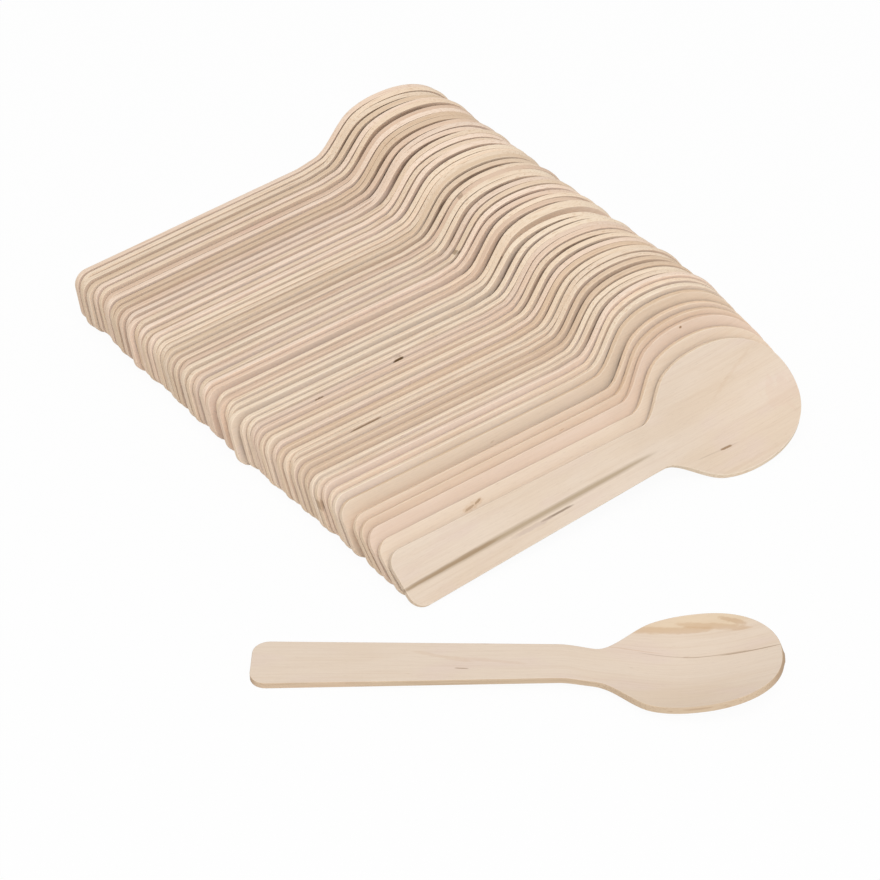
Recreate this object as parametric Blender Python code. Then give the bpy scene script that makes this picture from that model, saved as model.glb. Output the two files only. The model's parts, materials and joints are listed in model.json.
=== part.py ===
"""A pack of disposable birch spoons: a nested row standing on edge, and one loose spoon.

Metres, +Z up. The row runs along +Y and the handles point along -X. Every spoon stands
on the long edge of its handle and on the side of its bowl, and leans back on the next.
"""
import math
import random

import bmesh
import bpy
from mathutils import Matrix, Vector
from mathutils.bvhtree import BVHTree

# The flat blank that is cut from veneer
SPOON_LENGTH = 0.140
VENEER_THICKNESS = 0.0017
HANDLE_END_WIDTH = 0.0175
HANDLE_NECK_WIDTH = 0.0134
HANDLE_CORNER_RADIUS = 0.0046
BOWL_WIDTH = 0.0376
BOWL_BACK_LENGTH = 0.0232
BOWL_FRONT_LENGTH = 0.0227
BOWL_FULLNESS = 2.2
NECK_BEFORE = 0.0035
NECK_AFTER = 0.0116

# The form that the hot press gives it
DISH_DEPTH = 0.0040
DISH_RUN_IN = 0.0045
NECK_DROP = 0.0018
NECK_DROP_RUN = 0.0130
TIP_RISE = 0.0023

# The row
ROW_COUNT = 59
CLEARANCE = 0.0003
FRONT_LEAN = math.radians(46.0)
NEAR_LEAN = math.radians(21.3)
FAR_LEAN = math.radians(6.1)
LEAN_FADE = 4.7
LEAN_FADE_POWER = 1.1
SLUMPED_SPOONS = 5
SLUMP_STEP = math.radians(4.6)
EVEN_FRONT = 10
LEAN_SCATTER = math.radians(1.7)
FRONT_YAW = math.radians(-2.9)
FAR_YAW = math.radians(0.5)
YAW_SCATTER = math.radians(0.25)
SLIDE_SCATTER = 0.0009
ROW_BOW = -0.0007
STRAY_SPOON = 25
STRAY_SLIDE = -0.0022

# The loose spoon, measured from the middle of the front spoon's handle end
LOOSE_YAW = math.radians(-38.24)
LOOSE_OFFSET = (-0.0480, 0.0015)

SEED = 17
SHARP_ANGLE = math.radians(35.0)
TONES = {
    "birch_cream": (0.78, 0.62, 0.46),
    "birch_sand": (0.72, 0.55, 0.40),
    "birch_rose": (0.74, 0.54, 0.41),
}
WOOD_ROUGHNESS = 0.62

BOWL_CENTRE = SPOON_LENGTH - BOWL_FRONT_LENGTH
BOWL_START = BOWL_CENTRE - BOWL_BACK_LENGTH
DISH_START = BOWL_START - DISH_RUN_IN


def clear_scene():
    for item in list(bpy.data.objects):
        bpy.data.objects.remove(item, do_unlink=True)


def smooth_step(value):
    value = min(max(value, 0.0), 1.0)
    return value * value * (3.0 - 2.0 * value)


def bowl_half_width(x):
    """Half the width of the bowl at x, 0 outside it: an oval, a little fuller than an ellipse."""
    reach = BOWL_BACK_LENGTH if x < BOWL_CENTRE else BOWL_FRONT_LENGTH
    share = min(abs(x - BOWL_CENTRE) / reach, 1.0)
    return BOWL_WIDTH / 2 * (1.0 - share ** BOWL_FULLNESS) ** (1.0 / BOWL_FULLNESS)


def handle_half_width(x):
    share = min(x / BOWL_START, 1.0)
    return (HANDLE_END_WIDTH + (HANDLE_NECK_WIDTH - HANDLE_END_WIDTH) * share) / 2


def neck_half_width(x):
    """The neck's outline: a cubic that leaves the handle and meets the bowl without a corner."""
    start = BOWL_START - NECK_BEFORE
    run = NECK_BEFORE + NECK_AFTER
    end = start + run
    step = 0.0001
    share = (x - start) / run
    slope_in = (HANDLE_NECK_WIDTH - HANDLE_END_WIDTH) / (2 * BOWL_START)
    slope_out = (bowl_half_width(end + step) - bowl_half_width(end - step)) / (2 * step)
    rise = smooth_step(share)
    width = (1.0 - rise) * handle_half_width(start) + rise * bowl_half_width(end)
    width += share * (1.0 - share) ** 2 * slope_in * run
    return width - share ** 2 * (1.0 - share) * slope_out * run


def half_width(x):
    """Half the blank's width: a tapered handle with round corners, the neck, the bowl."""
    if x >= BOWL_START + NECK_AFTER:
        return bowl_half_width(x)
    if x > BOWL_START - NECK_BEFORE:
        return neck_half_width(x)
    handle = handle_half_width(x)
    if x < HANDLE_CORNER_RADIUS:
        inset = HANDLE_CORNER_RADIUS - x
        arc = math.sqrt(HANDLE_CORNER_RADIUS ** 2 - inset ** 2)
        return handle - HANDLE_CORNER_RADIUS + arc
    return handle


def rim_height(x):
    """Height of the cut edge: level handle, a small drop at the neck, a lifted tip."""
    drop = NECK_DROP * smooth_step((x - BOWL_START + NECK_DROP_RUN) / NECK_DROP_RUN)
    lift = smooth_step((x - BOWL_START) / (SPOON_LENGTH - BOWL_START))
    return (NECK_DROP + TIP_RISE) * lift - drop


def dish_height(x):
    """Depth of the pressed dish on the spoon's centre line, below the rim."""
    if x <= BOWL_CENTRE:
        return -DISH_DEPTH * smooth_step((x - DISH_START) / (BOWL_CENTRE - DISH_START))
    share = (x - BOWL_CENTRE) / BOWL_FRONT_LENGTH
    return -DISH_DEPTH * (1.0 - share * share)


def face_point(x, across):
    """A point on the concave face, across runs from -1 to 1 over the width."""
    height = rim_height(x) + dish_height(x) * (1.0 - across * across)
    return Vector((x, across * half_width(x), height))


def face_normal(x, across):
    step = 0.0002
    x = min(max(x, step), SPOON_LENGTH - step)
    along = face_point(x + step, across) - face_point(x - step, across)
    side = Vector((0.0, half_width(x), -2.0 * dish_height(x) * across))
    if side.y < step:
        side = Vector((0.0, 1.0, 0.0))
    return along.cross(side).normalized()


def stations():
    """Places along the spoon, each with the shares of the width that get a vertex."""
    edges = (-1.0, 1.0)
    with_spine = (-1.0, 0.0, 1.0)
    dished = (-1.0, -0.5, 0.0, 0.5, 1.0)
    corner = HANDLE_CORNER_RADIUS
    rows = [(0.0, edges)]
    rows.append((corner * (1.0 - math.sin(math.radians(45))), edges))
    rows.append((corner, edges))
    rows.append((BOWL_START - NECK_DROP_RUN, edges))
    rows.append((BOWL_START - NECK_BEFORE, with_spine))
    for degrees in (20, 33, 46, 61, 79, 98, 118, 138, 158):
        turn = math.cos(math.radians(degrees))
        reach = BOWL_BACK_LENGTH if turn > 0 else BOWL_FRONT_LENGTH
        shallow = degrees < 50 or degrees > 150
        rows.append((BOWL_CENTRE - reach * turn, with_spine if shallow else dished))
    rows.append((SPOON_LENGTH, (0.0,)))
    return rows


def bridge(mesh, row_a, row_b, flip):
    """Triangles between two rows of (share, vertex) that may differ in number."""
    i = 0
    j = 0
    while i < len(row_a) - 1 or j < len(row_b) - 1:
        step_a = row_a[i + 1][0] if i < len(row_a) - 1 else math.inf
        step_b = row_b[j + 1][0] if j < len(row_b) - 1 else math.inf
        if step_a <= step_b:
            corners = [row_a[i][1], row_b[j][1], row_a[i + 1][1]]
            i += 1
        else:
            corners = [row_a[i][1], row_b[j][1], row_b[j + 1][1]]
            j += 1
        if flip:
            corners.reverse()
        mesh.faces.new(corners)


def spoon_mesh():
    """The pressed spoon: two faces one veneer apart, and the cut edge between them."""
    mesh = bmesh.new()
    tops = []
    backs = []
    for x, shares in stations():
        top_row = []
        back_row = []
        for share in shares:
            point = face_point(x, share)
            under = point - face_normal(x, share) * VENEER_THICKNESS
            top_row.append((share, mesh.verts.new(point)))
            back_row.append((share, mesh.verts.new(under)))
        tops.append(top_row)
        backs.append(back_row)
    for rows, flip in ((tops, True), (backs, False)):
        for row_a, row_b in zip(rows, rows[1:]):
            bridge(mesh, row_a, row_b, flip)
    rim_top = [row[0][1] for row in tops] + [row[-1][1] for row in tops[-2::-1]]
    rim_back = [row[0][1] for row in backs] + [row[-1][1] for row in backs[-2::-1]]
    count = len(rim_top)
    for i in range(count):
        j = (i + 1) % count
        mesh.faces.new((rim_top[i], rim_back[i], rim_back[j]))
        mesh.faces.new((rim_top[i], rim_back[j], rim_top[j]))
    bmesh.ops.recalc_face_normals(mesh, faces=mesh.faces)
    data = bpy.data.meshes.new("pressed_spoon")
    mesh.to_mesh(data)
    mesh.free()
    data.shade_smooth()
    data.set_sharp_from_angle(angle=SHARP_ANGLE)
    return data


def birch(name, colour):
    material = bpy.data.materials.new(name)
    material.use_nodes = True
    shader = material.node_tree.nodes["Principled BSDF"]
    shader.inputs["Base Color"].default_value = (*colour, 1.0)
    shader.inputs["Roughness"].default_value = WOOD_ROUGHNESS
    shader.inputs["Metallic"].default_value = 0.0
    return material


def add_spoon(name, data, material, matrix):
    spoon = bpy.data.objects.new(name, data)
    bpy.context.scene.collection.objects.link(spoon)
    spoon.matrix_world = matrix
    spoon.data.materials.append(material)
    return spoon


def set_down(points, matrix):
    """The matrix moved straight down or up until its lowest point is on the floor."""
    lowest = min((matrix @ point).z for point in points)
    return Matrix.Translation((0.0, 0.0, -lowest)) @ matrix


def standing(points, lean, yaw):
    """A spoon on edge: tilted in its own plane until handle and bowl both touch down."""
    upright = Matrix.Rotation(math.pi / 2 - lean, 4, "X")
    handle = [point for point in points if point.x < SPOON_LENGTH / 2]
    bowl = [point for point in points if point.x >= SPOON_LENGTH / 2]
    tilt = 0.0
    for _ in range(6):
        turned = upright @ Matrix.Rotation(tilt, 4, "Z")
        low_handle = min((turned @ point for point in handle), key=lambda p: p.z)
        low_bowl = min((turned @ point for point in bowl), key=lambda p: p.z)
        rise = (low_bowl.z - low_handle.z) / math.cos(lean)
        tilt -= math.atan2(rise, low_bowl.x - low_handle.x)
    turned = upright @ Matrix.Rotation(tilt, 4, "Z")
    return set_down(points, Matrix.Rotation(yaw, 4, "Z") @ turned)


def probes(data):
    """Points spread over a spoon's surface: its vertices, edge middles and face centres."""
    points = [vertex.co.copy() for vertex in data.vertices]
    for edge in data.edges:
        a, b = (data.vertices[index].co for index in edge.vertices)
        points.append((a + b) / 2)
    for face in data.polygons:
        points.append(face.center.copy())
    return points


def tree(data, matrix):
    corners = [matrix @ vertex.co for vertex in data.vertices]
    return BVHTree.FromPolygons(corners, [tuple(face.vertices) for face in data.polygons])


def room_along_row(data, points, front, behind):
    """How far the front spoon can slide along +Y before it meets the one behind."""
    ahead = Vector((0.0, 1.0, 0.0))
    far_tree = tree(data, behind)
    near_tree = tree(data, front)
    room = math.inf
    for point in points:
        hit = far_tree.ray_cast(front @ point, ahead)
        if hit[3] is not None:
            room = min(room, hit[3])
        hit = near_tree.ray_cast(behind @ point, -ahead)
        if hit[3] is not None:
            room = min(room, hit[3])
    return room


def lean_at(index):
    """Lean of spoon 1, 2, 3 and so on: a slumped front group, then ever more upright."""
    share = (index - 1) / (ROW_COUNT - 1)
    base = NEAR_LEAN + (FAR_LEAN - NEAR_LEAN) * share
    slump = math.exp(-(((index - 1) / LEAN_FADE) ** LEAN_FADE_POWER))
    lean = base + (FRONT_LEAN - NEAR_LEAN) * slump
    return lean + SLUMP_STEP if index <= SLUMPED_SPOONS else lean


def row_places(data):
    """Matrices of the row's spoons, each one slid back against the spoon behind it."""
    draw = random.Random(SEED)
    points = probes(data)
    corners = [vertex.co for vertex in data.vertices]
    places = {}
    behind = None
    for index in range(ROW_COUNT, 0, -1):
        share = (index - 1) / (ROW_COUNT - 1)
        # The front spoons stand evenly, those behind them less so
        uneven = 0.0 if index == ROW_COUNT else min((index - 1) / EVEN_FRONT, 1.0)
        lean = lean_at(index) + draw.uniform(-LEAN_SCATTER, LEAN_SCATTER) * uneven
        yaw = FRONT_YAW + (FAR_YAW - FRONT_YAW) * share
        yaw += draw.uniform(-YAW_SCATTER, YAW_SCATTER) * uneven
        slide = draw.uniform(-SLIDE_SCATTER, SLIDE_SCATTER) * uneven
        slide += ROW_BOW * 4.0 * share * (1.0 - share)
        if index == STRAY_SPOON:
            slide += STRAY_SLIDE
        matrix = standing(corners, lean, yaw)
        handle_end = matrix @ Vector((0.0, 0.0, 0.0))
        matrix = Matrix.Translation((slide - handle_end.x, 0.0, 0.0)) @ matrix
        if behind is not None:
            # Start well clear in front, then slide back to the clearance
            start = behind.translation.y - BOWL_WIDTH * 1.5
            matrix = Matrix.Translation((0.0, start - matrix.translation.y, 0.0)) @ matrix
            room = room_along_row(data, points, matrix, behind)
            step = room - CLEARANCE / math.cos(lean)
            matrix = Matrix.Translation((0.0, step, 0.0)) @ matrix
        places[index] = matrix
        behind = matrix
    return places


def loose_place(data, front):
    """The loose spoon on its back: dish and handle end both touch the floor."""
    corners = [vertex.co for vertex in data.vertices]
    handle = [point for point in corners if point.x < SPOON_LENGTH / 2]
    bowl = [point for point in corners if point.x >= SPOON_LENGTH / 2]
    pitch = 0.0
    for _ in range(6):
        turned = Matrix.Rotation(-pitch, 4, "Y")
        low_handle = min((turned @ point for point in handle), key=lambda p: p.z)
        low_bowl = min((turned @ point for point in bowl), key=lambda p: p.z)
        pitch -= math.atan2(low_bowl.z - low_handle.z, low_bowl.x - low_handle.x)
    turned = Matrix.Rotation(LOOSE_YAW, 4, "Z") @ Matrix.Rotation(-pitch, 4, "Y")
    front_end = front.translation
    target = (front_end.x + LOOSE_OFFSET[0], front_end.y + LOOSE_OFFSET[1], 0.0)
    return set_down(corners, Matrix.Translation(target) @ turned)


def centred(matrices, data):
    """All matrices moved so that the whole pack's box is centred over the origin."""
    corners = [vertex.co for vertex in data.vertices]
    points = [matrix @ corner for matrix in matrices for corner in corners]
    low_x = min(point.x for point in points)
    high_x = max(point.x for point in points)
    low_y = min(point.y for point in points)
    high_y = max(point.y for point in points)
    shift = Matrix.Translation((-(low_x + high_x) / 2, -(low_y + high_y) / 2, 0.0))
    return [shift @ matrix for matrix in matrices]


def main():
    clear_scene()
    data = spoon_mesh()
    row = row_places(data)
    order = sorted(row)
    matrices = [row[index] for index in order]
    matrices.append(loose_place(data, row[1]))
    matrices = centred(matrices, data)
    tones = [birch(name, colour) for name, colour in TONES.items()]
    draw = random.Random(SEED + 1)
    for index, matrix in zip(order, matrices):
        tone = draw.choice(tones)
        add_spoon(f"row_spoon_{index:02d}", data.copy(), tone, matrix)
    add_spoon("loose_spoon", data.copy(), tones[0], matrices[-1])
    bpy.data.meshes.remove(data)


main()
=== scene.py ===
# %% [markdown]
# # A pack of wooden spoons
#
# The object is a row of thin disposable spoons that stand on edge, each one leaning on the
# next, and one more spoon that lies in front. Every spoon is stamped from a sheet of birch
# veneer and then pressed hot, so all of them share one outline and one shallow dish.
#
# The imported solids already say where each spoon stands. This script builds one fine spoon
# as a mesh, puts a copy of it on every solid, and gives the copies their wood.

# %% Load the frame
import json
import math
import random

import bmesh
import bpy
import numpy as np
from mathutils import Matrix, Vector
from mathutils.bvhtree import BVHTree


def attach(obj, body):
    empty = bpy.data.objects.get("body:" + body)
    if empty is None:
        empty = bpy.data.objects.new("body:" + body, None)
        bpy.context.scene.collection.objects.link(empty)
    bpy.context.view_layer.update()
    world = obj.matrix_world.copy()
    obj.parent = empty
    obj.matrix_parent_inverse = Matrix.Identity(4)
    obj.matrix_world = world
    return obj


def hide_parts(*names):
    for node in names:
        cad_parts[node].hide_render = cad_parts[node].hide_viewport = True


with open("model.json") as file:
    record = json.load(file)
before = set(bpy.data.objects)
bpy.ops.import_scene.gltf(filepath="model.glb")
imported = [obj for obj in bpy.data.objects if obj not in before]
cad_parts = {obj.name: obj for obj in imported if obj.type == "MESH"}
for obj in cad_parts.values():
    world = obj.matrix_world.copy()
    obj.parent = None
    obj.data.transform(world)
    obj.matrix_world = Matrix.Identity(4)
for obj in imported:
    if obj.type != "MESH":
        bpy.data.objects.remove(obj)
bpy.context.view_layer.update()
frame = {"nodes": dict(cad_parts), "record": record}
names = sorted(frame["nodes"])
print("solids to dress:", len(names))

# %% [markdown]
# ## The camera
#
# Product pictures like this are taken from far away with a long lens, which keeps the far
# end of the row almost as large as the near end. The camera is described as a
# photographer would do it: the point on the table it looks at, the direction it looks
# from, how far away it stands, and its lens.

# %% Camera
AIM = Vector((0.00771, 0.01343, 0.0))
CAMERA_AZIMUTH = math.radians(-36.19)
CAMERA_ELEVATION = math.radians(36.39)
CAMERA_DISTANCE = 0.9844
LENS = 139.56

backward = Vector((
    math.sin(CAMERA_AZIMUTH) * math.cos(CAMERA_ELEVATION),
    -math.cos(CAMERA_AZIMUTH) * math.cos(CAMERA_ELEVATION),
    math.sin(CAMERA_ELEVATION),
))
camera = bpy.data.objects.new("camera", bpy.data.cameras.new("camera"))
bpy.context.scene.collection.objects.link(camera)
camera.location = AIM + backward * CAMERA_DISTANCE
camera.rotation_mode = "QUATERNION"
camera.rotation_quaternion = (-backward).to_track_quat("-Z", "Y")
camera.data.lens = LENS
camera.data.sensor_width = 36.0
camera.data.clip_start = 0.05
bpy.context.scene.camera = camera
print("camera at, mm:", [round(value * 1000) for value in camera.location])

# %% [markdown]
# ## The outline of the blank
#
# The blank is what the stamping die cuts out of the flat sheet: a handle that narrows
# towards the neck, an oval bowl, and a smooth bend where they meet. It could be drawn as
# a curve with many handles. A formula for the half width at each place along the spoon
# is shorter, and the same numbers then serve the mesh, the dish and the wood grain. The
# bowl is a superellipse: an exponent a little above 2 makes an oval with fuller shoulders.

# %% Sizes of one spoon
SPOON_LENGTH = 0.140
VENEER_THICKNESS = 0.0017
HANDLE_END_WIDTH = 0.0175
HANDLE_NECK_WIDTH = 0.0134
HANDLE_CORNER_RADIUS = 0.0046
BOWL_WIDTH = 0.0376
BOWL_BACK_LENGTH = 0.0232
BOWL_FRONT_LENGTH = 0.0227
BOWL_FULLNESS = 2.2
NECK_BEFORE = 0.0035
NECK_AFTER = 0.0116
BOWL_CENTRE = SPOON_LENGTH - BOWL_FRONT_LENGTH
BOWL_START = BOWL_CENTRE - BOWL_BACK_LENGTH
print("bowl is", round(BOWL_WIDTH / SPOON_LENGTH, 2), "of the spoon's length wide")

# %% Half width of the blank
SLOPE_STEP = 0.0001


def bowl_half_width(x):
    reach = BOWL_BACK_LENGTH if x < BOWL_CENTRE else BOWL_FRONT_LENGTH
    share = min(abs(x - BOWL_CENTRE) / reach, 1.0)
    return BOWL_WIDTH / 2 * (1.0 - share ** BOWL_FULLNESS) ** (1.0 / BOWL_FULLNESS)


def handle_half_width(x):
    share = min(x / BOWL_START, 1.0)
    return (HANDLE_END_WIDTH + (HANDLE_NECK_WIDTH - HANDLE_END_WIDTH) * share) / 2


def smooth_step(value):
    value = min(max(value, 0.0), 1.0)
    return value * value * (3.0 - 2.0 * value)


def neck_half_width(x):
    """A cubic that leaves the handle and meets the bowl without a corner."""
    start = BOWL_START - NECK_BEFORE
    run = NECK_BEFORE + NECK_AFTER
    end = start + run
    share = (x - start) / run
    slope_in = (HANDLE_NECK_WIDTH - HANDLE_END_WIDTH) / (2 * BOWL_START)
    wider = bowl_half_width(end + SLOPE_STEP) - bowl_half_width(end - SLOPE_STEP)
    slope_out = wider / (2 * SLOPE_STEP)
    rise = smooth_step(share)
    width = (1.0 - rise) * handle_half_width(start) + rise * bowl_half_width(end)
    width += share * (1.0 - share) ** 2 * slope_in * run
    return width - share ** 2 * (1.0 - share) * slope_out * run


def half_width(x):
    if x >= BOWL_START + NECK_AFTER:
        return bowl_half_width(x)
    if x > BOWL_START - NECK_BEFORE:
        return neck_half_width(x)
    handle = handle_half_width(x)
    if x < HANDLE_CORNER_RADIUS:
        inset = HANDLE_CORNER_RADIUS - x
        arc = math.sqrt(max(HANDLE_CORNER_RADIUS ** 2 - inset ** 2, 0.0))
        return handle - HANDLE_CORNER_RADIUS + arc
    return handle


print("half width at mid handle, mm:", round(half_width(0.045) * 1000, 2))

# %% [markdown]
# ## The pressed form
#
# The hot press leaves the handle flat, drops the neck a little, lifts the tip and sinks a
# dish 4 mm deep. Across the bowl the dish is a parabola, which ends at the cut edge with
# a slope, so the edge of the real spoon leans outwards there. The height is again one
# formula, and the direction square to the sheet comes from two small steps on it.

# %% Height of the concave face
DISH_DEPTH = 0.0040
DISH_RUN_IN = 0.0045
DISH_START = BOWL_START - DISH_RUN_IN
NECK_DROP = 0.0018
NECK_DROP_RUN = 0.0130
TIP_RISE = 0.0023


def rim_height(x):
    drop = NECK_DROP * smooth_step((x - BOWL_START + NECK_DROP_RUN) / NECK_DROP_RUN)
    lift = smooth_step((x - BOWL_START) / (SPOON_LENGTH - BOWL_START))
    return (NECK_DROP + TIP_RISE) * lift - drop


def dish_height(x):
    if x <= BOWL_CENTRE:
        return -DISH_DEPTH * smooth_step((x - DISH_START) / (BOWL_CENTRE - DISH_START))
    share = (x - BOWL_CENTRE) / BOWL_FRONT_LENGTH
    return -DISH_DEPTH * (1.0 - share * share)


def face_point(x, across):
    height = rim_height(x) + dish_height(x) * (1.0 - across * across)
    return Vector((x, across * half_width(x), height))


def face_normal(x, across):
    x = min(max(x, SLOPE_STEP), SPOON_LENGTH - SLOPE_STEP)
    along = face_point(x + SLOPE_STEP, across) - face_point(x - SLOPE_STEP, across)
    side = Vector((0.0, half_width(x), -2.0 * dish_height(x) * across))
    # At the tip the blank has no width left to take a direction from
    if side.y < SLOPE_STEP:
        side = Vector((0.0, 1.0, 0.0))
    return along.cross(side).normalized()


print("lowest point of the dish, mm:", round(face_point(BOWL_CENTRE, 0.0).z * 1000, 2))

# %% [markdown]
# ## One fine spoon
#
# The mesh is laid out as rows across the spoon. The rows lie close together where the
# outline turns, at the handle's corners, the neck and the bowl, and far apart on the
# straight handle. A die leaves the cut edge square with slightly worn corners, so the
# edge gets its own band of faces: a small quarter round, the flat cut, and another
# quarter round. Smooth shading would bend the light across the whole sheet there, so a
# few narrow columns of faces follow the edge and keep the bend where it belongs. In the
# row only these last millimetres show, so the columns also carry the painted shade of the gaps.

# %% Rows and columns
EDGE_ROUND = 0.00011
SUPPORTS = (0.00024, 0.00080, 0.00150, 0.00210, 0.00270)
SUPPORT_SHARE = 0.09
INNER_COLUMNS = 10
CORNER_ROWS = 8
HANDLE_ROWS = 12
NECK_ROWS = 22
NECK_ROWS_END = BOWL_START + 0.0040
BOWL_ROWS = 40
TIP_DEGREES = (2.2, 0.9)


def row_places():
    places = []
    for step in range(CORNER_ROWS):
        turn = math.radians(step * 90 / CORNER_ROWS)
        places.append(HANDLE_CORNER_RADIUS * (1.0 - math.cos(turn)))
    straight_end = BOWL_START - NECK_DROP_RUN
    for step in range(HANDLE_ROWS):
        share = step / HANDLE_ROWS
        places.append(HANDLE_CORNER_RADIUS + (straight_end - HANDLE_CORNER_RADIUS) * share)
    for step in range(NECK_ROWS):
        places.append(straight_end + (NECK_ROWS_END - straight_end) * step / NECK_ROWS)
    first = math.degrees(math.acos((BOWL_CENTRE - NECK_ROWS_END) / BOWL_BACK_LENGTH))
    for step in range(BOWL_ROWS + 1):
        turn = math.cos(math.radians(first + (180 - first) * step / BOWL_ROWS))
        reach = BOWL_BACK_LENGTH if turn > 0 else BOWL_FRONT_LENGTH
        places.append(BOWL_CENTRE - reach * turn)
    # The tip is blunt, so more rows close to it keep its outline round
    for degrees in TIP_DEGREES:
        inset = BOWL_FRONT_LENGTH * (1.0 - math.cos(math.radians(degrees)))
        places.insert(-1, SPOON_LENGTH - inset)
    return places


def column_shares(half):
    """Shares of the half width from -1 to 1, close together near both edges."""
    outer = [1.0 - min(inset / half, SUPPORT_SHARE * (k + 1))
             for k, inset in enumerate(SUPPORTS)]
    inner = [outer[-1] * (2.0 * k / INNER_COLUMNS - 1.0) for k in range(1, INNER_COLUMNS)]
    return [-1.0] + [-share for share in outer] + inner + outer[::-1] + [1.0]


COLUMNS = len(column_shares(BOWL_WIDTH / 2)) - 1
print("rows along one spoon:", len(row_places()), "columns:", COLUMNS)

# %% The cut edge at one place of the outline
def outward(x, side):
    """The direction that leaves the sheet at its edge, square to the outline."""
    step = SLOPE_STEP / 2
    if x <= 0.0:
        return Vector((-1.0, 0.0, 0.0))
    if x >= SPOON_LENGTH - 1e-9:
        ahead = Vector((0.0, -side, 0.0))
    else:
        low = max(x - step, 0.0)
        high = min(x + step, SPOON_LENGTH)
        ahead = face_point(high, side) - face_point(low, side)
    out = face_normal(x, side).cross(ahead) * side
    return out.normalized()


def edge_profile(rim, out, normal):
    """Points from the concave face round the edge to the back, each with its arris share."""
    flat = VENEER_THICKNESS - 2 * EDGE_ROUND
    near = rim - out * EDGE_ROUND - normal * EDGE_ROUND
    far = near - normal * flat
    points = []
    for centre, turns in ((near, (90, 45, 0)), (far, (0, -45, -90))):
        for degrees in turns:
            turn = math.radians(degrees)
            reach = out * math.cos(turn) + normal * math.sin(turn)
            points.append((centre + reach * EDGE_ROUND, 1.0))
    # Two more rows on the flat cut stop the rounds from bending its shading
    points.insert(3, (rim - normal * (EDGE_ROUND + 0.2 * flat), 0.0))
    points.insert(4, (rim - normal * (EDGE_ROUND + 0.8 * flat), 0.0))
    return points


tip_out = outward(SPOON_LENGTH, 1.0)
print("the tip's edge points", [round(value, 2) for value in tip_out])

# %% Build the spoon
FACE, CUT = 0, 1


def height_at(x, y):
    width = half_width(x)
    across = min(max(y / width, -1.0), 1.0) if width > 0.0 else 0.0
    return rim_height(x) + dish_height(x) * (1.0 - across * across)


def rim_walk(last):
    """The rim as one closed walk: down the right side, across the handle end, up the left."""
    walk = [(i, COLUMNS, 1.0) for i in range(last, -1, -1)]
    walk += [(0, j, 1.0) for j in range(COLUMNS - 1, 0, -1)]
    walk += [(i, 0, -1.0) for i in range(0, last)]
    return walk


def spoon_mesh():
    mesh = bmesh.new()
    blank = mesh.verts.layers.float_vector.new("blank")
    end_grain = mesh.verts.layers.float.new("end_grain")
    arris = mesh.verts.layers.float.new("arris")

    def put(point, flat, end=0.0, wear_and_highlight=0.0):
        made = mesh.verts.new(point)
        made[blank] = flat
        made[end_grain] = end
        made[arris] = wear_and_highlight
        return made

    tops = []
    backs = []
    edges = []
    places = row_places()
    last = len(places) - 1
    for i, x in enumerate(places):
        rims = {side: face_point(x, side) for side in (-1.0, 1.0)}
        outs = {side: outward(x, side) for side in (-1.0, 1.0)}
        inner = rims[1.0] - outs[1.0] * EDGE_ROUND
        top_row = []
        back_row = []
        for share in column_shares(max(inner.y, EDGE_ROUND)):
            if i == last and top_row:
                top_row.append(top_row[0])
                back_row.append(back_row[0])
                continue
            y = share * inner.y if i < last else 0.0
            point = Vector((inner.x, y, height_at(inner.x, y)))
            width = max(half_width(x), EDGE_ROUND)
            normal = face_normal(x, min(max(y / width, -1.0), 1.0))
            under = point - normal * VENEER_THICKNESS
            top_row.append(put(point, (inner.x, y, 0.0)))
            back_row.append(put(under, (inner.x, y, -VENEER_THICKNESS)))
        tops.append(top_row)
        backs.append(back_row)
        edges.append((rims, outs))

    for rows, flip in ((tops, True), (backs, False)):
        for row_a, row_b in zip(rows, rows[1:]):
            for j in range(COLUMNS):
                ring = [row_a[j], row_a[j + 1], row_b[j + 1], row_b[j]]
                corners = [v for k, v in enumerate(ring) if v not in ring[:k]]
                if flip:
                    corners.reverse()
                mesh.faces.new(corners).material_index = FACE

    bands = []
    for i, j, side in rim_walk(last):
        rims, outs = edges[i]
        rim = rims[side].copy()
        if 0 < j < COLUMNS and i == 0:
            rim.y = tops[0][j][blank].y
        out = outs[side]
        normal = face_normal(places[i], side)
        profile = edge_profile(rim, out, normal)
        top = tops[i][j]
        back = backs[i][j]
        top.co = profile[0][0]
        back.co = profile[-1][0]
        top[arris] = back[arris] = 1.0
        band = [top]
        for point, wear_and_highlight in profile[1:-1]:
            depth = (point - rim).dot(normal)
            band.append(put(point, (rim.x, rim.y, depth), out.x * out.x, wear_and_highlight))
        band.append(back)
        bands.append(band)
    for band_a, band_b in zip(bands, bands[1:] + bands[:1]):
        for k in range(len(band_a) - 1):
            face = mesh.faces.new((band_a[k], band_b[k], band_b[k + 1], band_a[k + 1]))
            face.material_index = CUT
    bmesh.ops.recalc_face_normals(mesh, faces=mesh.faces)
    data = bpy.data.meshes.new("fine_spoon")
    mesh.to_mesh(data)
    mesh.free()
    data.shade_smooth()
    return data


fine_spoon = spoon_mesh()
print("one spoon:", len(fine_spoon.vertices), "points,", len(fine_spoon.polygons), "faces")

# %% [markdown]
# ## Where each spoon stands
#
# The solids of the frame are already in place, and nothing may move them. So each
# spoon's own axes are read from its solid: the handle's flat face gives the direction
# out of the dish, the corners' spread gives the direction across, and the handle's end is
# the start of the long axis. Copying the places from another file would also work, but it
# would go wrong as soon as that file changed.

# %% Read a spoon's axes from its solid
END_BAND = 0.0005


def flat_direction(solid):
    """The direction that the largest flat area of a solid faces."""
    areas = {}
    for face in solid.polygons:
        key = tuple(round(value, 3) for value in face.normal)
        areas.setdefault(key, Vector((0.0, 0.0, 0.0)))
        areas[key] += face.normal * face.area
    return np.array(max(areas.values(), key=lambda total: total.length).normalized())


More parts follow.
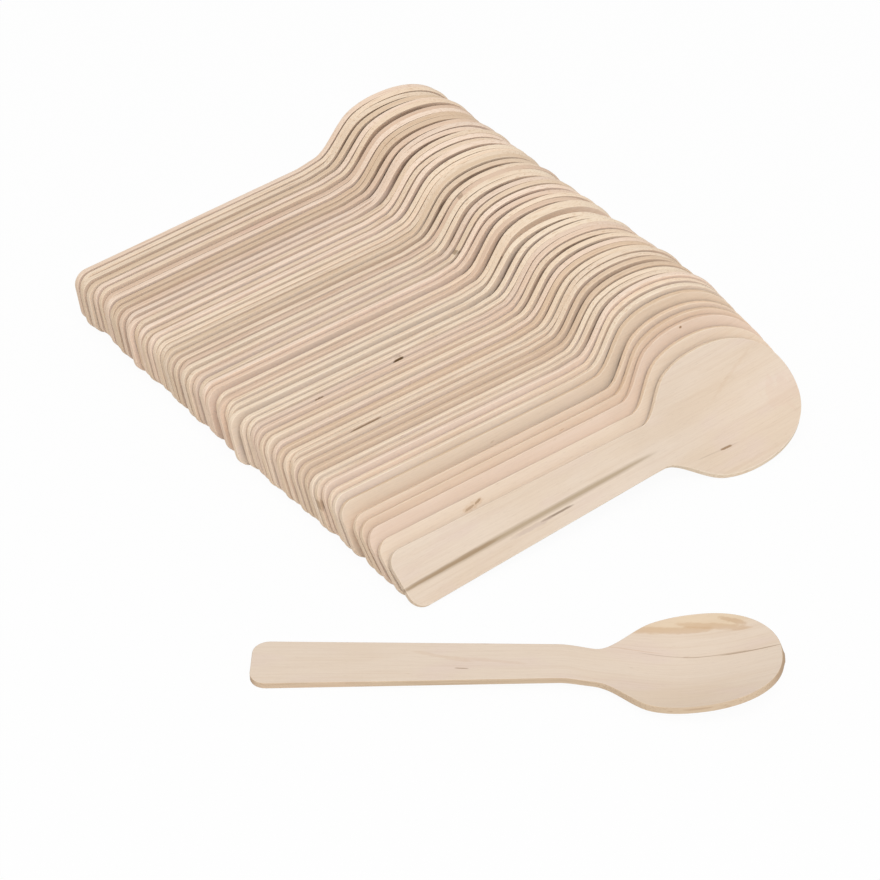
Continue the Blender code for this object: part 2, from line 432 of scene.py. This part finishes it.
def spoon_axes(name):
    solid = frame["nodes"][name].data
    corners = np.array([vertex.co for vertex in solid.vertices], dtype=float)
    corners = np.unique(corners.round(7), axis=0)
    middle = corners.mean(axis=0)
    spread = np.linalg.eigh(np.cov((corners - middle).T))[1]
    out = flat_direction(solid)
    across = spread[:, 1] - out * spread[:, 1].dot(out)
    across /= np.linalg.norm(across)
    along = np.cross(across, out)
    # Most corners are in the bowl, so the far end is the handle's
    reach = (corners - middle) @ along
    if -reach.min() < reach.max():
        along = -along
        reach = -reach
    handle_end = corners[reach < reach.min() + END_BAND]
    # The bowl is pressed down, so the handle's end lies above the average
    if ((handle_end - middle) @ out).mean() < 0:
        out = -out
    across = np.cross(out, along)
    height = ((handle_end - middle) @ out).max()
    origin = middle + along * reach.min() + out * height
    axes = Matrix.Identity(4)
    for column, direction in enumerate((along, across, out, origin)):
        for row in range(3):
            axes[row][column] = direction[row]
    return axes


front_axes = spoon_axes("row_spoon_01")
print("front spoon's handle end, mm:", [round(v * 1000, 1) for v in front_axes.translation])
front_tip = front_axes @ face_point(SPOON_LENGTH, 0.0)
front_solid = frame["nodes"]["row_spoon_01"].data
tip_gap = min((front_tip - vertex.co).length for vertex in front_solid.vertices)
print("fine tip to solid tip, mm:", round(tip_gap * 1000, 3))

# %% [markdown]
# ## Colours and small tools for the wood
#
# A colour is easiest to judge as it looks on the screen, from 0 to 255. Blender's
# sockets want it in linear light, so one function converts it. The other helpers each
# add one node to a material and hand back its output, which lets a material be written
# as a few plain lines, from the place on the blank to the finished colour.

# %% Colour and node helpers
def paint(red, green, blue):
    def linear(value):
        value = value / 255
        return value / 12.92 if value <= 0.04045 else ((value + 0.055) / 1.055) ** 2.4
    return (linear(red), linear(green), linear(blue), 1.0)


def feed(tree, socket, value):
    if isinstance(value, bpy.types.NodeSocket):
        tree.links.new(value, socket)
    else:
        socket.default_value = value


def calc(tree, operation, first, second=0.0):
    made = tree.nodes.new("ShaderNodeMath")
    made.operation = operation
    feed(tree, made.inputs[0], first)
    feed(tree, made.inputs[1], second)
    return made.outputs[0]


def ramp(tree, value, low, high, start=0.0, end=1.0):
    """A soft step: start below low, end above high."""
    made = tree.nodes.new("ShaderNodeMapRange")
    made.interpolation_type = "SMOOTHSTEP"
    feed(tree, made.inputs["Value"], value)
    made.inputs["From Min"].default_value = low
    made.inputs["From Max"].default_value = high
    made.inputs["To Min"].default_value = start
    made.inputs["To Max"].default_value = end
    return made.outputs[0]


def tinge(tree, share, first, second):
    made = tree.nodes.new("ShaderNodeMix")
    made.data_type = "RGBA"
    feed(tree, made.inputs[0], share)
    feed(tree, made.inputs[6], first)
    feed(tree, made.inputs[7], second)
    return made.outputs[2]


def layer(tree, colour, tone, noise, low, high, share):
    """The colour with a share of the tone laid over it where the noise is high."""
    return tinge(tree, ramp(tree, noise, low, high, 0.0, share), colour, tone)


def attribute(tree, name, output="Vector"):
    made = tree.nodes.new("ShaderNodeAttribute")
    made.attribute_name = name
    return made.outputs[output]


def grain(tree, place, length, width, detail=2.0, roughness=0.5):
    """Noise drawn out along the spoon: its grains are length long and width wide."""
    scaled = tree.nodes.new("ShaderNodeVectorMath")
    scaled.operation = "MULTIPLY"
    feed(tree, scaled.inputs[0], place)
    scaled.inputs[1].default_value = (1 / length, 1 / width, 1 / width)
    made = tree.nodes.new("ShaderNodeTexNoise")
    feed(tree, made.inputs["Vector"], scaled.outputs[0])
    made.inputs["Scale"].default_value = 1.0
    made.inputs["Detail"].default_value = detail
    made.inputs["Roughness"].default_value = roughness
    return made.outputs[0]


print("pale birch in linear light:", [round(v, 3) for v in paint(229, 210, 189)[:3]])

# %% [markdown]
# ## Marks in the wood
#
# Two spoons show their whole face, and each has marks that make it that very spoon: a
# long grey-brown streak, small dark flecks, a curved line. Each mark is a soft spot with
# its own place, length, width and turn on the blank, and it may bend. Painting them as an
# image would be quicker, but a spot made of nodes stays sharp from close by.

# %% A soft spot on the blank
SPOT_CORE = 0.45


def spot(tree, at, length, width, turn=0.0, bend=0.0, ragged=0.15):
    """1 in the middle of a long soft spot and 0 outside it. Places and sizes are in mm."""
    place = attribute(tree, "blank")
    moved = tree.nodes.new("ShaderNodeMapping")
    moved.vector_type = "TEXTURE"
    feed(tree, moved.inputs["Vector"], place)
    moved.inputs["Location"].default_value = (at[0] / 1000, at[1] / 1000, 0.0)
    moved.inputs["Rotation"].default_value = (0.0, 0.0, math.radians(turn))
    parts = tree.nodes.new("ShaderNodeSeparateXYZ")
    tree.links.new(moved.outputs[0], parts.inputs[0])
    along = parts.outputs[0]
    bow = calc(tree, "MULTIPLY", calc(tree, "MULTIPLY", along, along), bend)
    across = calc(tree, "ADD", parts.outputs[1], bow)
    # The fourth power keeps a long spot wide until near its ends
    along = calc(tree, "ABSOLUTE", calc(tree, "MULTIPLY", along, 2000 / length))
    along = calc(tree, "POWER", along, 4.0)
    across = calc(tree, "POWER", calc(tree, "MULTIPLY", across, 2000 / width), 2.0)
    reach = calc(tree, "SQRT", calc(tree, "ADD", along, across))
    wobble = grain(tree, place, length / 6000, width / 1500)
    wobble = calc(tree, "MULTIPLY", calc(tree, "SUBTRACT", wobble, 0.5), ragged * 4)
    return ramp(tree, calc(tree, "ADD", reach, wobble), SPOT_CORE, 1.0, 1.0, 0.0)


def stain(tree, colour, marks):
    """The colour with each mark's own colour laid over it."""
    for tone, strength, mark in marks:
        covered = calc(tree, "MULTIPLY", spot(tree, **mark), strength)
        colour = tinge(tree, covered, colour, tone)
    return colour


print("spots are measured in millimetres on the blank")

# %% [markdown]
# ## Birch faces
#
# Peeled birch is pale and quiet. From far away it is nearly one colour, with soft warm
# and pinkish clouds. Closer, thin fibres run along the spoon, short pores show as fine
# dashes, and now and then there is a small brown fleck. Each layer is one stretched
# noise laid over the one before. The same fibres drive the bump and the roughness, so
# colour and shine agree.

# %% Light and shade of one spoon
# The painted shade of the gaps between the spoons, and how much of it they take
CREASE = paint(92, 62, 38)
CREASE_SHARE = 0.84
CREASE_SPREAD = 0.16
ARRIS_SHARE = 0.30


def finish_colour(tree, shader, colour, light, tone_and_painted_light, amount, gap):
    """The last steps of both materials: bright arris, partly painted highlight, dark crease of
    painted shade, and the spoon's own level, partly painted light.
    """
    place = attribute(tree, "log_place")
    # The arris is lighter, partly the paler fuzz of the cut and partly a painted highlight
    wear_and_highlight_noise = ramp(tree, grain(tree, place, 0.014, 0.004, 2.0), 0.35, 0.65, 0.1, 1.0)
    wear_and_highlight = calc(tree, "MULTIPLY", attribute(tree, "arris", "Fac"), wear_and_highlight_noise)
    colour = tinge(tree, calc(tree, "MULTIPLY", wear_and_highlight, ARRIS_SHARE), colour, light)
    # Painted shade in the gaps: some stay faint and some are dark, so its share differs by spoon
    hidden = ramp(tree, attribute(tree, "hidden", "Fac"), 0.70, 0.90)
    painted_shade_breakup = ramp(tree, grain(tree, place, 0.030, 0.008, 2.0), 0.35, 0.65, 0.5, 1.0)
    hidden = calc(tree, "MULTIPLY", hidden, painted_shade_breakup)
    share = calc(tree, "ADD", calc(tree, "MULTIPLY", gap, CREASE_SPREAD), CREASE_SHARE)
    colour = tinge(tree, calc(tree, "MULTIPLY", hidden, share), colour, CREASE)
    # The spoon's own level: a random tone, and in the row painted light on top
    own = calc(tree, "ADD", calc(tree, "MULTIPLY", tone_and_painted_light, amount), 1.0)
    lit = tree.nodes.new("ShaderNodeVectorMath")
    lit.operation = "SCALE"
    tree.links.new(colour, lit.inputs[0])
    tree.links.new(own, lit.inputs["Scale"])
    tree.links.new(lit.outputs[0], shader.inputs["Base Color"])


print("crease colour in linear light:", [round(v, 3) for v in CREASE[:3]])

# %% Face material
BAND = paint(206, 172, 138)
FIBRE = paint(190, 158, 126)
PORE = paint(150, 116, 84)
FLECK = paint(168, 130, 94)
PORE_SHARE = 0.12
FACE_LEVEL = 0.045


def birch_face(name, base, warm, cool, light, marks=()):
    material = bpy.data.materials.new(name)
    material.use_nodes = True
    tree = material.node_tree
    shader = tree.nodes["Principled BSDF"]
    place = attribute(tree, "log_place")
    tint = tree.nodes.new("ShaderNodeSeparateXYZ")
    tree.links.new(attribute(tree, "tint"), tint.inputs[0])

    clouds = grain(tree, place, 0.050, 0.011, 3.0)
    colour = layer(tree, base, warm, clouds, 0.38, 0.70, 0.8)
    patches = grain(tree, place, 0.024, 0.009, 2.0)
    colour = layer(tree, colour, cool, patches, 0.50, 0.72, 0.6)

    # Some sheets are darker right through, and all have faint bands along the spoon
    colour = layer(tree, colour, warm, tint.outputs[0], 0.0, 1.0, 0.7)
    bands = grain(tree, place, 0.060, 0.0009, 2.0)
    colour = layer(tree, colour, BAND, bands, 0.48, 0.72, 0.11)

    fibres = grain(tree, place, 0.011, 0.00032, 3.0, 0.6)
    colour = layer(tree, colour, FIBRE, fibres, 0.40, 0.68, 0.08)
    pores = ramp(tree, grain(tree, place, 0.0022, 0.00011, 1.0), 0.63, 0.72)
    colour = tinge(tree, calc(tree, "MULTIPLY", pores, PORE_SHARE), colour, PORE)
    flecks = grain(tree, place, 0.0050, 0.0008, 1.0)
    colour = layer(tree, colour, FLECK, flecks, 0.76, 0.83, 0.35)

    colour = stain(tree, colour, marks)
    finish_colour(tree, shader, colour, light, tint.outputs[1], FACE_LEVEL, tint.outputs[2])

    feed(tree, shader.inputs["Roughness"], ramp(tree, fibres, 0.3, 0.7, 0.56, 0.70))
    shader.inputs["Specular IOR Level"].default_value = 0.25
    bump = tree.nodes.new("ShaderNodeBump")
    bump.inputs["Strength"].default_value = 0.25
    bump.inputs["Distance"].default_value = 0.00003
    feed(tree, bump.inputs["Height"], calc(tree, "SUBTRACT", fibres, pores))
    tree.links.new(bump.outputs[0], shader.inputs["Normal"])
    return material


print("face layers: clouds, patches, bands, fibres, pores, flecks")

# %% [markdown]
# ## The cut edge
#
# Where the die went through, the long sides show the side of the fibres: pale, with
# fine darker lines that run along the edge. At the handle's end and the bowl's tip the
# fibres are cut across, and end grain is a little darker and finely dotted. The mesh
# says how much of each a place has, in the attribute named end_grain.

# %% Cut edge material
DRIFT = paint(234, 205, 178)
DOT = paint(190, 160, 130)
CUT_LEVEL = 0.05


def birch_cut(name, pale, streak, end_colour, light, marks=()):
    material = bpy.data.materials.new(name)
    material.use_nodes = True
    tree = material.node_tree
    shader = tree.nodes["Principled BSDF"]
    place = attribute(tree, "log_place")
    tint = tree.nodes.new("ShaderNodeSeparateXYZ")
    tree.links.new(attribute(tree, "tint"), tint.inputs[0])

    # Some sheets are darker right through
    colour = layer(tree, pale, streak, tint.outputs[0], -0.1, 1.0, 0.6)
    lines = grain(tree, place, 0.030, 0.00034, 3.0, 0.6)
    colour = layer(tree, colour, streak, lines, 0.48, 0.72, 0.8)
    drift = grain(tree, place, 0.035, 0.004, 2.0)
    colour = layer(tree, colour, DRIFT, drift, 0.45, 0.75, 0.40)

    ends = attribute(tree, "end_grain", "Fac")
    dots = grain(tree, place, 0.0004, 0.00025, 2.0)
    dotted = layer(tree, end_colour, DOT, dots, 0.45, 0.68, 0.40)
    colour = layer(tree, colour, dotted, ends, 0.25, 0.95, 1.0)

    colour = stain(tree, colour, marks)
    finish_colour(tree, shader, colour, light, tint.outputs[1], CUT_LEVEL, tint.outputs[2])

    shader.inputs["Roughness"].default_value = 0.72
    shader.inputs["Specular IOR Level"].default_value = 0.2
    bump = tree.nodes.new("ShaderNodeBump")
    bump.inputs["Strength"].default_value = 0.4
    bump.inputs["Distance"].default_value = 0.00005
    feed(tree, bump.inputs["Height"], lines)
    tree.links.new(bump.outputs[0], shader.inputs["Normal"])
    return material


print("cut edge layers: lines, drift, end grain")

# %% Three woods, two materials each
# Each light colour goes on the arris: partly paler fuzz, partly a painted highlight
woods = {
    "birch_cream": {
        "base": paint(236, 218, 199), "warm": paint(231, 210, 187),
        "cool": paint(233, 212, 198), "light": paint(255, 245, 231),
    },
    "birch_sand": {
        "base": paint(235, 214, 194), "warm": paint(225, 200, 176),
        "cool": paint(231, 208, 191), "light": paint(250, 235, 216),
    },
    "birch_rose": {
        "base": paint(236, 215, 199), "warm": paint(227, 203, 182),
        "cool": paint(232, 208, 192), "light": paint(252, 236, 220),
    },
}
edges = {
    "birch_cream": {
        "pale": paint(243, 224, 200), "streak": paint(212, 182, 150),
        "end_colour": paint(232, 210, 186), "light": paint(249, 235, 216),
    },
    "birch_sand": {
        "pale": paint(240, 219, 195), "streak": paint(204, 172, 140),
        "end_colour": paint(226, 202, 175), "light": paint(246, 229, 205),
    },
    "birch_rose": {
        "pale": paint(241, 219, 199), "streak": paint(208, 176, 149),
        "end_colour": paint(228, 203, 180), "light": paint(247, 230, 210),
    },
}
faces = {tone: birch_face(tone + "_face", **colours) for tone, colours in woods.items()}
cuts = {tone: birch_cut(tone + "_cut", **colours) for tone, colours in edges.items()}
print("materials:", len(faces) + len(cuts))

# %% [markdown]
# ## The tones of the row
#
# The sheets that the spoons were cut from differ a little, so the row looks striped. The
# record keeps a tone for each spoon, and the script uses it again here.

# %% Tone of each spoon
tone_of = {part["node"]: part["material_slot"] for part in frame["record"]["subparts"]}
print("spoons per tone:", {tone: list(tone_of.values()).count(tone) for tone in woods})

# %% [markdown]
# ## The spoons with marks of their own
#
# The front spoon has a long grey-brown streak beside the middle of its handle, and a short
# dash below it. The loose spoon's bowl has a straw zone with a darker rim, and a thin
# curved line. A few spoons of the row have a small knot near the cut edge. Places were
# measured on the photograph and carried back to the flat blank: x from the handle's end,
# y from the middle line.

# %% Marks, spoon by spoon
GREY = paint(176, 154, 124)
BROWN = paint(150, 116, 80)
KNOT = paint(116, 90, 60)
TAN = paint(208, 172, 134)
PINK = paint(224, 190, 170)
STRAW = paint(232, 205, 164)
ASH = paint(146, 124, 104)
HAZE = paint(208, 186, 170)
RING_BROWN = paint(190, 148, 106)


def mark(tone, strength, x, y, length, width, **more):
    """One soft spot: its tone, how strong it is, its place, its size and how it is turned."""
    return tone, strength, {"at": (x, y), "length": length, "width": width, **more}


marks_of = {
    "row_spoon_01": [
        mark(GREY, 0.50, 43, -1.75, 104, 2.5, turn=0.4, bend=0.1, ragged=0.08),
        mark(GREY, 0.55, 44, -1.75, 98, 1.2, turn=0.4, bend=0.1, ragged=0.1),
        mark(BROWN, 0.45, 15, -1.9, 40, 1.5, turn=0.8, ragged=0.25),
        mark(ASH, 0.80, 52, -3.5, 13, 0.8),
        mark(HAZE, 0.55, 43, -3.7, 16, 1.6, ragged=0.3),
        mark(BROWN, 0.80, 111.5, -9.9, 4.6, 0.9, turn=-4),
        mark(BROWN, 0.20, 108.5, -9.7, 17, 0.5, turn=-4),
        mark(TAN, 0.12, 124, 7.8, 20, 1.4, turn=25, ragged=0.5),
        mark(PINK, 0.18, 135, -3.5, 11, 11, ragged=0.8),
    ],
    "row_spoon_02": [
        mark(TAN, 0.35, 32, 5.4, 9, 2.4, turn=6, ragged=0.4),
        mark(BROWN, 0.50, 30.6, 5.1, 3.8, 0.9, turn=9, ragged=0.4),
        mark(BROWN, 0.60, 33.8, 5.7, 2.8, 0.9, turn=14, ragged=0.3),
    ],
    "row_spoon_03": [mark(BROWN, 0.90, 118, 18.0, 0.9, 0.8)],
    "row_spoon_10": [mark(BROWN, 0.50, 0.5, 2.0, 3.0, 4.0, ragged=0.4)],
    "row_spoon_15": [mark(BROWN, 0.70, 26, 7.3, 12.0, 0.9, ragged=0.2)],
    "row_spoon_22": [
        mark(BROWN, 0.75, 23.5, 7.4, 3.6, 1.0, ragged=0.3),
        mark(KNOT, 1.00, 51.2, 6.95, 4.2, 1.6, turn=3, ragged=0.12),
    ],
    "row_spoon_32": [mark(KNOT, 0.60, 94.3, 7.8, 2.6, 1.2)],
    "row_spoon_36": [mark(KNOT, 0.45, 105.5, 16.3, 3.0, 1.6, ragged=0.3)],
    "row_spoon_53": [mark(PINK, 0.50, 57, 7.6, 14, 4.0, ragged=0.4)],
    "loose_spoon": [
        mark(STRAW, 0.46, 114, 17.4, 42, 8.6, bend=6.0, ragged=0.08),
        mark(TAN, 0.50, 109, 14.5, 30, 2.8, bend=3.0, ragged=0.3),
        mark(TAN, 0.50, 122, 14.6, 22, 2.4, turn=-12, bend=3.0, ragged=0.3),
        mark(RING_BROWN, 0.38, 127.5, 15.4, 9, 1.6, turn=-26, ragged=0.3),
        mark(TAN, 0.30, 100, 7.5, 20, 0.5, turn=-4),
        mark(BROWN, 0.30, 111, 5.85, 20, 0.36, turn=-5.5, ragged=0.05),
        mark(BROWN, 0.45, 123, 4.95, 20, 0.36, turn=-2.5, ragged=0.05),
        mark(BROWN, 0.65, 132, 4.2, 18, 0.46, turn=-3, ragged=0.05),
        mark(BROWN, 0.60, 55.8, -2.8, 4.2, 0.5, turn=-4),
        mark(TAN, 0.18, 50, 2.2, 22, 1.6, turn=-16, ragged=0.5),
        mark(TAN, 0.15, 63, 0.4, 24, 1.4, turn=-8, ragged=0.5),
    ],
}
loose_edge = {
    "pale": paint(216, 192, 164), "streak": paint(192, 162, 132),
    "end_colour": paint(190, 162, 134), "light": paint(240, 216, 184),
}
marked_faces = {}
marked_cuts = {}
for name, marks in marks_of.items():
    tone = tone_of[name]
    marked_faces[name] = birch_face(name + "_face", **woods[tone], marks=marks)
    edge = loose_edge if name == "loose_spoon" else edges[tone]
    marked_cuts[name] = birch_cut(name + "_cut", **edge, marks=marks)
print("spoons with marks of their own:", len(marked_faces))

# %% [markdown]
# ## A copy for every solid
#
# Veneer never stays quite flat, and no two blanks are quite alike. Each copy is bowed and
# twisted by about a tenth of a millimetre, is up to 1.2 % wider or narrower, and gets its
# own stretch of the log, so that no two faces match. The front spoon and the loose one
# keep the exact outline, because both are seen whole. The copy then slides in its own
# plane until it just touches the table, because its round outline is a little fuller
# than the solid's.

# %% Shape and wood of one copy
BOW = 0.00012
TWIST = 0.0025
WIDTH_SPREAD = 0.012
ROW_PAINTED_LIGHT = 2.4
PLAIN = ("row_spoon_01", "loose_spoon")
LOG_ROOM = 9


def own_mesh(name, draw):
    data = fine_spoon.copy()
    data.name = "wood_" + name
    count = len(data.vertices)
    points = np.empty(count * 3, np.float32)
    data.vertices.foreach_get("co", points)
    points = points.reshape(-1, 3)
    share = points[:, 0] / SPOON_LENGTH
    bow = draw.uniform(-BOW, BOW)
    twist = draw.uniform(-TWIST, TWIST)
    points[:, 2] += bow * np.sin(share * math.pi) + twist * (share - 0.5) * points[:, 1]
    if name not in PLAIN:
        points[:, 1] *= 1.0 + draw.uniform(-WIDTH_SPREAD, WIDTH_SPREAD)
    data.vertices.foreach_set("co", points.ravel())

    blank = np.empty(count * 3, np.float32)
    data.attributes["blank"].data.foreach_get("vector", blank)
    shift = np.array([draw.uniform(0, LOG_ROOM) for _ in range(3)], np.float32)
    log_place = data.attributes.new("log_place", "FLOAT_VECTOR", "POINT")
    log_place.data.foreach_set("vector", (blank.reshape(-1, 3) + shift).ravel())
    tint = data.attributes.new("tint", "FLOAT_VECTOR", "POINT")
    values = np.array([draw.uniform(-1, 1) for _ in range(3)], np.float32)
    # The narrow strips of the row lose light to their neighbours, so they get painted light
    values[1] += ROW_PAINTED_LIGHT
    if name in PLAIN:
        values[:] = 0.0
    tint.data.foreach_set("vector", np.tile(values, count))
    return data


print("copies may bow by", BOW * 1000, "mm")

# %% Put the spoons in place
ON_EDGE = 0.4
draw = random.Random(5)
low_points = []
spoons = {}
for name in names:
    tone = tone_of[name]
    data = own_mesh(name, draw)
    data.materials.append(marked_faces.get(name, faces[tone]))
    data.materials.append(marked_cuts.get(name, cuts[tone]))
    axes = spoon_axes(name)
    lowest = min((axes @ vertex.co).z for vertex in data.vertices)
    # Spoons on edge slide along their width, the loose one straight up
    slide = axes.col[1].to_3d() if abs(axes[2][1]) > ON_EDGE else axes.col[2].to_3d()
    data.transform(Matrix.Translation(slide * (-lowest / slide.z)) @ axes)
    low_points.append(lowest)
    spoon = bpy.data.objects.new("wood_" + name, data)
    bpy.context.scene.collection.objects.link(spoon)
    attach(spoon, "root")
    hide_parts(name)
    spoons[name] = spoon
bpy.data.meshes.remove(fine_spoon)
print("spoons placed:", len(low_points))
print("lifted by up to, mm:", round(-min(low_points) * 1000, 2))

# %% [markdown]
# ## How hidden each place is
#
# Gaps between pale sheets glow in a render, because light bounces from sheet to sheet.
# In the photograph they are thin brown lines. Less light would darken the faces as well,
# so every point of the mesh gets a number for how much of its view is blocked within a few
# millimetres, and the materials darken with it. A handful of test rays per point is
# enough for this.

# %% Test rays
REACH = 0.0045
START = 0.00003
RINGS = ((32, 7), (60, 9))


def test_directions():
    """Directions spread over a half sphere round +Z, more of them near the pole."""
    directions = [Vector((0.0, 0.0, 1.0))]
    for tilt, count in RINGS:
        for step in range(count):
            turn = math.radians(360 * step / count + tilt)
            flat = math.sin(math.radians(tilt))
            up = math.cos(math.radians(tilt))
            directions.append(Vector((flat * math.cos(turn), flat * math.sin(turn), up)))
    return directions


def hidden_shares(data, blockers, directions):
    shares = []
    for vertex in data.vertices:
        turn = vertex.normal.to_track_quat("Z", "Y").to_matrix()
        start = vertex.co + vertex.normal * START
        blocked = 0
        for direction in directions:
            ray = turn @ direction
            if any(tree.ray_cast(start, ray, REACH)[3] is not None for tree in blockers):
                blocked += 1
        shares.append(blocked / len(directions))
    return shares


trees = {}
for name in names:
    data = spoons[name].data
    corners = [vertex.co for vertex in data.vertices]
    trees[name] = BVHTree.FromPolygons(corners, [tuple(face.vertices) for face in data.polygons])
directions = test_directions()
row = [name for name in names if name.startswith("row_")]
for place, name in enumerate(row):
    neighbours = [trees[other] for other in row[max(place - 1, 0):place + 2] if other != name]
    shares = hidden_shares(spoons[name].data, neighbours, directions)
    # How hidden each point is; the materials turn it into painted shade
    hidden = spoons[name].data.attributes.new("hidden", "FLOAT", "POINT")
    hidden.data.foreach_set("value", shares)
print("test rays per point:", len(directions))

# %% [markdown]
# ## The table and the light
#
# The picture has a plain white ground and light that comes from everywhere, a little more
# from above. A white sky gives that. One wide lamp overhead adds the soft direction that
# lets the dish and the gaps show. The table is made white for the camera through Light
# Path, and not by more light, so the wood keeps the colour it was painted with.

# %% What the picture sees
def seen_directly(tree):
    """1 for rays that show the table or the sky in the picture, 0 for rays that light the wood."""
    rays = tree.nodes.new("ShaderNodeLightPath")
    seen = calc(tree, "MAXIMUM", rays.outputs["Is Camera Ray"], rays.outputs["Is Glossy Ray"])
    return calc(tree, "MAXIMUM", seen, rays.outputs["Is Transmission Ray"])


print("camera, glossy and transmission rays see pure white")

# %% Table
TABLE_HALF = 6.0
TABLE_GLOW = 0.95
TABLE_TONE = (0.90, 0.90, 0.90, 1.0)
table_mesh = bpy.data.meshes.new("table")
table_mesh.from_pydata(
    [(-TABLE_HALF, -TABLE_HALF, 0.0), (TABLE_HALF, -TABLE_HALF, 0.0),
     (TABLE_HALF, TABLE_HALF, 0.0), (-TABLE_HALF, TABLE_HALF, 0.0)],
    [], [(0, 1, 2, 3)])
table = bpy.data.objects.new("table", table_mesh)
bpy.context.scene.collection.objects.link(table)

table_paint = bpy.data.materials.new("table_paint")
table_paint.use_nodes = True
tree = table_paint.node_tree
shader = tree.nodes["Principled BSDF"]
shader.inputs["Base Color"].default_value = TABLE_TONE
shader.inputs["Roughness"].default_value = 0.9
shader.inputs["Specular IOR Level"].default_value = 0.0
glow = tree.nodes.new("ShaderNodeEmission")
glow.inputs["Strength"].default_value = 1.0
blend = tree.nodes.new("ShaderNodeMixShader")
feed(tree, blend.inputs[0], calc(tree, "MULTIPLY", seen_directly(tree), TABLE_GLOW))
tree.links.new(shader.outputs[0], blend.inputs[1])
tree.links.new(glow.outputs[0], blend.inputs[2])
tree.links.new(blend.outputs[0], tree.nodes["Material Output"].inputs["Surface"])
table_mesh.materials.append(table_paint)
print("table side, m:", TABLE_HALF * 2)

# %% Sky and lamp
SKY_LIGHT = 0.53
LAMP_SIDE = 1.3
LAMP_POWER = 15.6
LAMP_PLACE = (-0.45, -0.80, 1.5)

world = bpy.data.worlds.new("sky")
bpy.context.scene.world = world
world.use_nodes = True
tree = world.node_tree
background = tree.nodes["Background"]
background.inputs["Color"].default_value = (1.0, 1.0, 1.0, 1.0)
extra = calc(tree, "MULTIPLY", seen_directly(tree), 1.0 - SKY_LIGHT)
feed(tree, background.inputs["Strength"], calc(tree, "ADD", extra, SKY_LIGHT))

lamp = bpy.data.objects.new("lamp", bpy.data.lights.new("lamp", "AREA"))
bpy.context.scene.collection.objects.link(lamp)
lamp.data.size = LAMP_SIDE
lamp.data.energy = LAMP_POWER
lamp.location = LAMP_PLACE
lamp.rotation_mode = "QUATERNION"
lamp.rotation_quaternion = (AIM - lamp.location).to_track_quat("-Z", "Y")
bpy.context.scene.view_settings.view_transform = "Standard"
print("lamp at, m:", [round(value, 2) for value in lamp.location])
